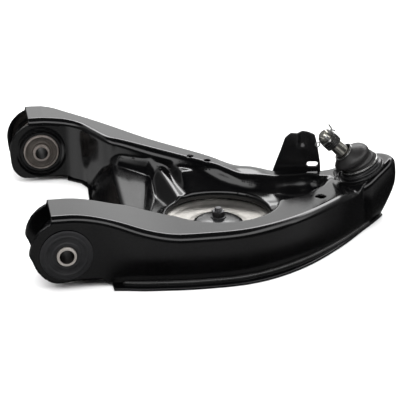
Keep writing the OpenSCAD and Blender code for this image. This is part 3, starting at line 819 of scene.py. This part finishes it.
sleeve("front_pivot_sleeve", "front_inner_sleeve", 0, 68, SLEEVE, "front_sleeve")
sleeve("rear_pivot_sleeve", "rear_inner_sleeve", PIVOT_SPAN, 72, REAR_SLEEVE, "rear_sleeve")
lathe("front_can", [(CAN_BORE, -29.3), (CAN_R, -29.3), (CAN_R, 29.3), (CAN_BORE, 29.3)],
      pivot(0), "arm", BLACK_SMALL, ["front_bushing_can"], 0.5)
can_half = 32.5
lathe("rear_can", [(CAN_BORE, -can_half), (20.3, -can_half), (CAN_R, -can_half + 1.2),
                   (CAN_R, can_half - 1.2), (20.3, can_half), (CAN_BORE, can_half)],
      pivot(PIVOT_SPAN), "arm", REAR_SLEEVE, ["rear_bushing_can"], 0.4)


def mirrored(side):
    """A profile that reads from the bore outward on the far side, mirrored to the near side."""
    return [(r, -z) for r, z in side] + [(r, z) for r, z in side[::-1]]


lathe("front_rubber", mirrored([(10.05, 31.6), (11.4, 31.9), (12.2, 32.3), (14.0, 32.3), (15.4, 31.4),
                                (19, 31.3), (20.2, 31.9), (21.5, 31.9), (22.6, 31.3), (25.2, 31.2),
                                (26.6, 30.6), (27, 29.6), (26.2, 29.35), (19.19, 29.3)]),
      pivot(0), "arm", RUBBER, ["front_bushing_rubber"], 0.5)
lathe("rear_rubber", mirrored([(10.05, 30.4), (11.2, 30.9), (12.6, 30.9), (13.8, 29.6), (16.4, 29.3),
                               (17.6, 30.1), (19.19, 30.3)]),
      pivot(PIVOT_SPAN), "arm", OLD_RUBBER, ["rear_bushing_rubber"], 0.5)

# ---------------------------------------------------------------- spring seat

lathe("spring_dish", [(4.3, -12), (24, -12), (28, -12.3), (34, -13.6), (46, -13.4), (53, -12.4), (58, -10.2),
                      (62, -9), (63.5, -9.6), (63.6, -32), (64.6, -32.6), (67, -32.7), (67, -35), (61.2, -35),
                      (61, -12), (57, -13.4), (50, -16), (34, -16.2), (27, -14.5), (4.3, -14.5)],
      SEAT, "arm", DISH, ["spring_seat"], 1.2, 128)
lathe("seat_cap", [(4.3, -6), (9, -6), (13, -6.4), (18, -7.3), (23, -8.8), (26, -10.6), (27.5, -11.98),
                   (25.4, -11.98), (24, -10.8), (17, -8.9), (9, -8.3), (4.3, -8.3)],
      SEAT, "arm", BLACK_SMALL, ["seat_disc"], 0.9)


def hexagon(name, af, z0, z1, bore, place, body, material, replaced, sides=96, chamfer=30):
    """Hexagon nut or bolt head: chamfered corners, and a bore if it has one."""
    flat = af / 2
    corner = flat / math.cos(math.pi / 6)
    fall = math.tan(math.radians(chamfer))
    zs = [z0] + [z0 + 0.4 * k for k in range(1, 4)] + list(np.linspace(z0 + 1.8, z1 - 1.8, 4)) \
        + [z1 - 0.4 * k for k in (3, 2, 1)] + [z1]
    pts, faces = [], []
    for z in zs:
        cone = flat - 0.35 + min(z - z0, z1 - z) / fall
        for k in range(sides):
            a = 2 * math.pi * k / sides
            r = min(flat / math.cos((a + math.pi / 6) % (math.pi / 3) - math.pi / 6), cone, corner)
            pts.append((r * math.cos(a), r * math.sin(a), z))
    for i in range(len(zs) - 1):
        faces += band(i, i + 1, sides)
    last = (len(zs) - 1) * sides
    if bore:
        start = len(pts)
        for z in (z0, z1):
            pts += [(bore * math.cos(2 * math.pi * k / sides), bore * math.sin(2 * math.pi * k / sides), z)
                    for k in range(sides)]
        for k in range(sides):
            m = (k + 1) % sides
            faces += [(k, start + k, start + m, m),
                      (last + m, start + sides + m, start + sides + k, last + k),
                      (start + k, start + sides + k, start + sides + m, start + m)]
    else:
        faces += [tuple(range(sides))[::-1], tuple(last + k for k in range(sides))]
    return tidy(put(name, mesh_of(name, pts, faces, place=place), body, material, replaced), 24)


def threaded(r, pitch, z0, z1, depth, sides=40):
    """Points and faces of a threaded rod, ready to join to others."""
    rows = int((z1 - z0) / pitch * 8)
    pts, faces = [], []
    for i in range(rows + 1):
        z = z0 + (z1 - z0) * i / rows
        near_end = min(1, (z1 - z) / (1.2 * pitch))
        for k in range(sides):
            phase = (z / pitch - k / sides) % 1
            cut = depth * (1 - abs(2 * phase - 1))
            rad = r - cut - (1 - near_end) * depth
            a = 2 * math.pi * k / sides
            pts.append((rad * math.cos(a), rad * math.sin(a), z))
    for i in range(rows):
        faces += band(i, i + 1, sides)
    faces += [tuple(range(sides))[::-1], tuple(rows * sides + k for k in range(sides))]
    return pts, faces


pts, faces = threaded(4, 1.25, -14.6, 5, 0.55)
tidy(put("seat_bolt_thread", mesh_of("seat_bolt_thread", pts, faces, place=SEAT), "arm",
         DARK_BOLT, ["seat_bolt"]), 60)
hexagon("seat_bolt_head", 13, -20, -14.55, 0, SEAT, "arm", DARK_BOLT, [])
hexagon("seat_bolt_nut", 13, -5, 1.5, 4.02, SEAT, "arm", DARK_BOLT, ["seat_nut"])
lathe("seat_bolt_nut_flange", [(4.05, -5.98), (8.5, -5.98), (8.3, -5.2), (6.6, -4.3), (4.05, -4.3)], SEAT,
      "arm", DARK_BOLT, [], 0.25)

# ---------------------------------------------------------------- ball joint

lathe("joint_housing", [(17.2, -17), (21.2, -17), (21.9, -16.2), (22, -4.5), (25.8, -4.5), (26.1, -3.8),
                        (25.9, -2.2), (25.0, -1.8), (24.8, -0.6), (24.2, 1.2), (22.6, 1.8), (21.6, 2.6),
                        (21.5, 3.8), (18.9, 4), (18.9, 7), (17.6, 11), (14.8, 11), (12.9, 8.2), (17.2, 8.2)],
      HOUSING, "arm", BLACK_SMALL, ["ball_joint_housing"], 0.7)
lathe("joint_cover", [(0, -16.5), (17.19, -16.5), (17.19, -14.1), (0, -14.1)], HOUSING, "arm",
      BLACK_SMALL, ["housing_cover"], 0.4, 64)


def wire_ring(name, r, wire, zs, place, body, replaced):
    turns = np.linspace(0, 2 * math.pi, 96, endpoint=False)
    pts, faces = joined([tube([(r * math.cos(a), r * math.sin(a), z) for a in turns], wire, 10, closed=True)
                         for z in zs])
    mesh = mesh_of(name, pts, faces, place=place)
    return tidy(put(name, mesh, body, ZINC, replaced), 60, False)


wire_ring("boot_clamp_wire", 21.5, 0.55, (5.75, 6.85), HOUSING, "arm", ["boot_lower_ring"])
wire_ring("boot_neck_wire", 11.2, 0.5, (28.7,), STUD, "boot_top", ["boot_upper_ring"])


BOOT_START, BOOT_PULL, BOOT_ARRIVAL, BOOT_END = 4.3, 14, 18, 30


def boot_axis(t):
    """Middle of the boot, from the housing's axis at 0 to the stud's at 1."""
    h = np.array([-math.sin(LEAN), 0, math.cos(LEAN)])
    s = np.array([-math.sin(LEAN + STUD_LEAN), 0, math.cos(LEAN + STUD_LEAN)])
    u = 1 - t
    return (h * BOOT_START * u ** 3 + 3 * h * BOOT_PULL * u * u * t + 3 * s * BOOT_ARRIVAL * u * t * t
            + s * BOOT_END * t ** 3)


boot_outer = curve([[0, 20.6], [0.1, 20.7], [0.17, 20.2], [0.24, 20.4], [0.33, 19.3], [0.42, 19.4],
                    [0.52, 20.9], [0.62, 21.0], [0.72, 19.6], [0.8, 17.0], [0.87, 13.7], [0.92, 11.1],
                    [0.95, 10.6], [0.98, 11.0], [1.0, 11.4]], 6)


def boot_part(name, low, high, wall, replaced):
    """The boot between two fractions of its length, with its wall thickness."""
    line = [q for q in boot_outer if low <= q[0] <= high]
    back = [np.array([t, max(r - wall, 8.5)]) for t, r in line][::-1]
    loop, sides = line + back, 72
    pts, faces = [], []
    for t, r in loop:
        a = LEAN + STUD_LEAN * float(ease(t))
        c = BALL + boot_axis(t)
        for k in range(sides):
            q = 2 * math.pi * k / sides
            out = np.array([math.cos(q) * math.cos(a), math.sin(q), math.cos(q) * math.sin(a)])
            pts.append(c + r * out)
    n = len(loop)
    for i in range(n):
        j = (i + 1) % n
        faces += [(i * sides + k, j * sides + k, j * sides + (k + 1) % sides, i * sides + (k + 1) % sides)
                  for k in range(sides)]
    me = mesh_of(name, pts, faces)
    o = bpy.data.objects.new(name, me)
    bpy.context.scene.collection.objects.link(o)
    me.materials.append(BOOT)
    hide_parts(*replaced)
    return tidy(o, 60, False)


MIDDLE, LOWER_WALL, UPPER_WALL = 0.52, 0.9, 1.6
lower_boot = boot_part("boot_lower_half", 0, MIDDLE, LOWER_WALL, ["dust_boot"])
upper_boot = boot_part("boot_upper_half", MIDDLE, 1, UPPER_WALL, ["dust_boot"])


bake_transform(lower_boot)
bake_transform(upper_boot)

# ball, neck, taper and thread
ball_side = [(14 * math.sin(a), -14 * math.cos(a)) for a in np.radians(np.linspace(31, 152, 28))]
stud_side = [(0, ball_side[0][1])] + ball_side + [(6.2, 14.6), (6.2, 24), (6.9, 26), (7.9, 27.7), (8, 28.2),
                                                  (7.05, 43.6), (6.6, 44), (5.4, 44), (5.4, 44.8),
                                                  (0, 44.8)]
lathe("stud_body", stud_side, STUD, "stud", STEEL, ["ball_stud"], 0.25, 72)
pts, faces = threaded(6, 1.5, 44.3, 64, 0.7, 48)
tidy(put("stud_thread", mesh_of("stud_thread", pts, faces, place=STUD), "stud", STEEL), 60)

hexagon("castle_nut_body", 19, 44.2, 55.7, 6.02, STUD, "stud", ZINC, ["castle_nut"])
crown_pts, crown_faces = [], []
CROWN_SLOT = math.radians(15)
for tooth in range(6):
    mid = math.pi / 6 + tooth * math.pi / 3
    arcs = np.linspace(mid - math.pi / 6 + CROWN_SLOT, mid + math.pi / 6 - CROWN_SLOT, 9)
    section = rounded([(6.05, 55.3), (8.6, 55.3), (8.5, 60.4), (7.8, 61.2), (6.05, 61.2)], 0.35, 3)
    first = len(crown_pts)
    for a in arcs:
        crown_pts += [(r * math.cos(a), r * math.sin(a), z) for r, z in section]
    n = len(section)
    for i in range(len(arcs) - 1):
        crown_faces += [(first + i * n + k, first + (i + 1) * n + k, first + (i + 1) * n + (k + 1) % n,
                         first + i * n + (k + 1) % n) for k in range(n)]
    crown_faces += [tuple(first + k for k in range(n)),
                    tuple(first + (len(arcs) - 1) * n + k for k in range(n))[::-1]]
tidy(put("castle_nut_crown", mesh_of("castle_nut_crown", crown_pts, crown_faces, place=STUD), "stud",
         ZINC), 30)

# cotter pin: an eye, two legs through the stud, and their bent ends
eye = [(-12.6 + 2.3 * math.cos(a), 0, 2.3 * math.sin(a)) for a in np.linspace(0.5, 2 * math.pi - 0.5, 28)]
legs = []
for side in (1, -1):
    go = [(x, 0, 0.5 * side) for x in np.linspace(-10.4, 9.4, 16)]
    bend = [(9.4 + 1.8 * math.sin(a), 0, side * 0.5 + side * 1.8 * (1 - math.cos(a)))
            for a in np.linspace(0.2, 1.35, 6)]
    end = bend[-1]
    length = 5.2 if side > 0 else 2.2
    tip = [(end[0] + 0.22 * k, 0, end[2] + side * 0.98 * k) for k in np.linspace(0.5, length, 6)]
    legs.append(go + bend + tip)
pts, faces = joined([tube(path, r, 10) for path, r in ((eye, 0.8), (legs[0], 0.85), (legs[1], 0.85))])
pin_place = STUD @ Matrix.Translation((0, 0, 58.4 * MM))
tidy(put("split_pin", mesh_of("split_pin", pts, faces, place=pin_place), "stud", ZINC,
         ["cotter_pin"]), 60, False)

for node in ("ball_upper_bearing", "ball_lower_bearing"):
    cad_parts[node].data.materials.clear()
    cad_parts[node].data.materials.append(ACETAL)
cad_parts["preload_spring"].data.materials.clear()
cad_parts["preload_spring"].data.materials.append(STEEL)

# ---------------------------------------------------------------- floor, light and camera

bm = bmesh.new()
bmesh.ops.create_grid(bm, x_segments=8, y_segments=8, size=4.0)
me = bpy.data.meshes.new("floor")
bm.to_mesh(me)
bm.free()
floor = bpy.data.objects.new("floor", me)
floor.location = (0.15, 0.15, BASE_Z * MM - 0.0002)
bpy.context.scene.collection.objects.link(floor)
floor_paint, tree, bsdf = nodes_of("floor_paper")
bsdf.inputs["Roughness"].default_value = 0.9
bsdf.inputs["Specular IOR Level"].default_value = 0.1
coords = tree.nodes.new("ShaderNodeTexCoord").outputs["Object"]
link(tree, ramp(tree, noise(tree, coords, 30, 2), [(0.3, 0.88), (0.7, 0.90)]), bsdf.inputs["Base Color"])
me.materials.append(floor_paint)
floor.visible_glossy = False

world = bpy.data.worlds.new("studio")
bpy.context.scene.world = world
world.use_nodes = True
tree = world.node_tree
coords = tree.nodes.new("ShaderNodeTexCoord").outputs["Generated"]
parts = tree.nodes.new("ShaderNodeSeparateXYZ")
link(tree, coords, parts.inputs[0])
height = add(tree, "ShaderNodeMapRange")
height.inputs["From Min"].default_value = -1
link(tree, parts.outputs["Z"], height.inputs["Value"])
side = add(tree, "ShaderNodeMapRange", interpolation_type="SMOOTHSTEP")
side.inputs["From Min"].default_value = -0.25
side.inputs["From Max"].default_value = 0.25
link(tree, parts.outputs["Y"], side.inputs["Value"])


def up(z):
    return (z + 1) / 2


BRIGHT = 8.0  # ramps hold at most 1, so they are scaled up by this
behind = ramp(tree, height.outputs[0], [(0.0, 0.02), (up(-0.08), 0.03), (up(0.0), 0.16), (up(0.42), 0.19),
                                        (up(0.52), 0.21), (up(0.58), 0.9), (up(0.70), 0.9), (up(0.76), 0.004),
                                        (1.0, 0.004)])
ahead = ramp(tree, height.outputs[0], [(0.0, 0.001), (up(-0.48), 0.002), (up(-0.41), 0.040),
                                       (up(-0.2), 0.045), (up(-0.1), 0.02), (up(0.0), 0.003),
                                       (up(0.50), 0.004), (up(0.54), 0.34), (up(0.80), 0.34),
                                       (up(0.84), 0.004), (1.0, 0.004)])


def window(socket, start, end, low, high):
    """A smooth step of a direction's component, from low before start to high after end."""
    n = add(tree, "ShaderNodeMapRange", interpolation_type="SMOOTHSTEP")
    for name, value in (("From Min", start), ("From Max", end), ("To Min", low), ("To Max", high)):
        n.inputs[name].default_value = value
    link(tree, socket, n.inputs["Value"])
    return n.outputs[0]


def scaled(colour, factor):
    n = tree.nodes.new("ShaderNodeVectorMath")
    n.operation = "SCALE"
    link(tree, colour, n.inputs[0])
    link(tree, factor, n.inputs["Scale"])
    return n.outputs[0]


# the light behind the arm is a window, with dark cloth on both sides
behind = scaled(behind, window(parts.outputs["X"], -0.32, -0.10, 0.08, 1.0))
behind = scaled(behind, window(parts.outputs["X"], 0.55, 0.70, 1.0, 0.12))
mix = tree.nodes.new("ShaderNodeMix")
mix.data_type = "RGBA"
link(tree, side.outputs[0], mix.inputs["Factor"])
link(tree, ahead, mix.inputs["A"])
link(tree, behind, mix.inputs["B"])
# a reflector stands low on the left
reflector = add(tree, "ShaderNodeMath", operation="MULTIPLY")
link(tree, window(parts.outputs["X"], -0.80, -0.68, 0.085, 0.0), reflector.inputs[0])
link(tree, window(parts.outputs["Z"], -0.05, 0.10, 1.0, 0.0), reflector.inputs[1])
both_sides = tree.nodes.new("ShaderNodeVectorMath")
link(tree, mix.outputs["Result"], both_sides.inputs[0])
link(tree, reflector.outputs[0], both_sides.inputs[1])
back = tree.nodes["Background"]
link(tree, both_sides.outputs[0], back.inputs["Color"])
back.inputs["Strength"].default_value = BRIGHT

sun = bpy.data.lights.new("ceiling", "SUN")
sun.energy = 3.4
sun.angle = math.radians(70)
lamp = bpy.data.objects.new("ceiling", sun)
lamp.visible_glossy = False
bpy.context.scene.collection.objects.link(lamp)

CAMERA_AT, CAMERA_LOOK = (-0.10635, -1.3122, 0.5773), (0.17216, 0.91106, -0.37461)
cam = bpy.data.cameras.new("camera")
cam.lens, cam.sensor_width = 126.0, 36.0
cam.clip_start, cam.clip_end = 0.01, 50
camera = bpy.data.objects.new("camera", cam)
camera.location = CAMERA_AT
camera.rotation_euler = Vector(CAMERA_LOOK).to_track_quat("-Z", "Y").to_euler()
bpy.context.scene.collection.objects.link(camera)
bpy.context.scene.camera = camera
bpy.context.scene.view_settings.view_transform = "Standard"

bpy.context.view_layer.update()
